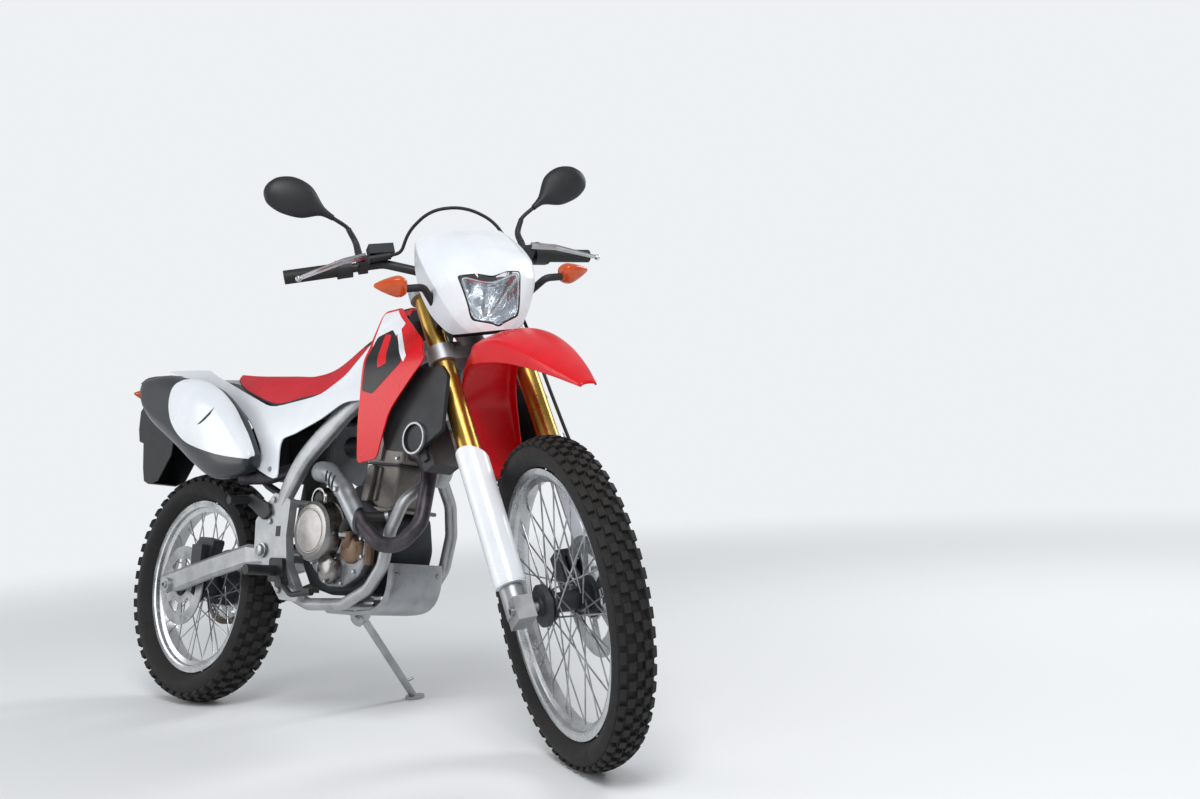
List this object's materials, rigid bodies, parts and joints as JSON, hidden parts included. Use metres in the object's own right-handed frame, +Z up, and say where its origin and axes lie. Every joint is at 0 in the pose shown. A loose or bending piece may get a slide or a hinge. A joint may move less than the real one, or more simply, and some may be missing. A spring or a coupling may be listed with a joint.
{
  "type": "dual sport motorcycle",
  "caption": "Dual sport motorcycle leaning on its side stand, front wheel turned right, with long-travel fork, high fender and wire wheels.",
  "frame": {"origin": "on the ground, under the middle of the motorcycle's bounding box as it stands", "axes": "+X towards the front of the motorcycle, +Y to its left, +Z up"},
  "size_m": [2.1666, 0.7534, 1.3886],
  "materials": {
    "amber": "clear",
    "black_plastic": "matt",
    "chain_steel": "oiled",
    "cover_metal": "satin",
    "disc_steel": "brushed",
    "engine_metal": "cast",
    "exhaust_metal": "heat stained",
    "frame_black": "satin",
    "gold": "anodised",
    "hub_metal": "satin",
    "lens": "clear",
    "polished_alloy": "polished",
    "red_plastic": "gloss",
    "reflector": "polished",
    "rubber": "matt",
    "seat_cover": "matt",
    "silver": "satin",
    "spoke_steel": "satin",
    "tyre": "satin",
    "white_plastic": "gloss"
  },
  "bodies": {
    "frame": {"frame_spars": "silver", "frame_cradle": "frame_black", "pivot_plates": "silver", "subframe": "frame_black", "engine": "engine_metal", "engine_covers": "cover_metal", "exhaust_pipe": "exhaust_metal", "muffler": "frame_black", "muffler_cover": "white_plastic", "heat_shield": "silver", "radiators": "black_plastic", "fuel_tank": "black_plastic", "seat": "seat_cover", "side_panels": "red_plastic", "shrouds": "red_plastic", "airbox": "black_plastic", "rear_fender": "red_plastic", "plate_holder": "black_plastic", "rear_lights": "red_plastic", "swingarm": "silver", "shock": "disc_steel", "rear_caliper": "hub_metal", "chain": "chain_steel", "foot_controls": "hub_metal", "skid_plate": "silver", "stand_bracket": "frame_black"},
    "steering": {"triple_clamps": "silver", "fork_tubes": "gold", "fork_sliders": "silver", "fork_guards": "white_plastic", "handlebar": "silver", "grips": "rubber", "hand_controls": "black_plastic", "levers": "silver", "mirrors": "black_plastic", "headlight_cowl": "white_plastic", "headlight_lens": "lens", "headlight_bucket": "reflector", "lamp_bracket": "black_plastic", "front_indicators": "amber", "front_fender": "red_plastic", "front_caliper": "hub_metal", "brake_hose": "rubber"},
    "front_wheel": {"front_tyre": "tyre", "front_rim": "polished_alloy", "front_spokes": "spoke_steel", "front_hub": "hub_metal", "front_disc": "disc_steel"},
    "rear_wheel": {"rear_tyre": "tyre", "rear_rim": "polished_alloy", "rear_spokes": "spoke_steel", "rear_hub": "hub_metal", "rear_disc": "disc_steel", "rear_sprocket": "disc_steel"},
    "side_stand": {"side_stand": "frame_black"}
  },
  "joints": [
    {"name": "steering", "type": "hinge", "parent": "frame", "child": "steering", "pos_m": [0.42609, -0.0462, 0.85745], "axis": [-0.4637, 0.1517, 0.8729], "range_deg": [-16.6, 73.3]},
    {"name": "front_wheel_spin", "type": "hinge", "parent": "steering", "child": "front_wheel", "pos_m": [0.76091, -0.16441, 0.34543], "axis": [0.4207, 0.9048, 0.0662], "continuous": true},
    {"name": "rear_wheel_spin", "type": "hinge", "parent": "frame", "child": "rear_wheel", "pos_m": [-0.67764, -0.13935, 0.32153], "axis": [0, 0.9852, -0.1712], "continuous": true},
    {"name": "side_stand_fold", "type": "hinge", "parent": "frame", "child": "side_stand", "pos_m": [-0.10562, -0.02818, 0.24866], "axis": [-0.0503, 0.8455, 0.5316], "range_deg": [0, 88]}
  ]
}
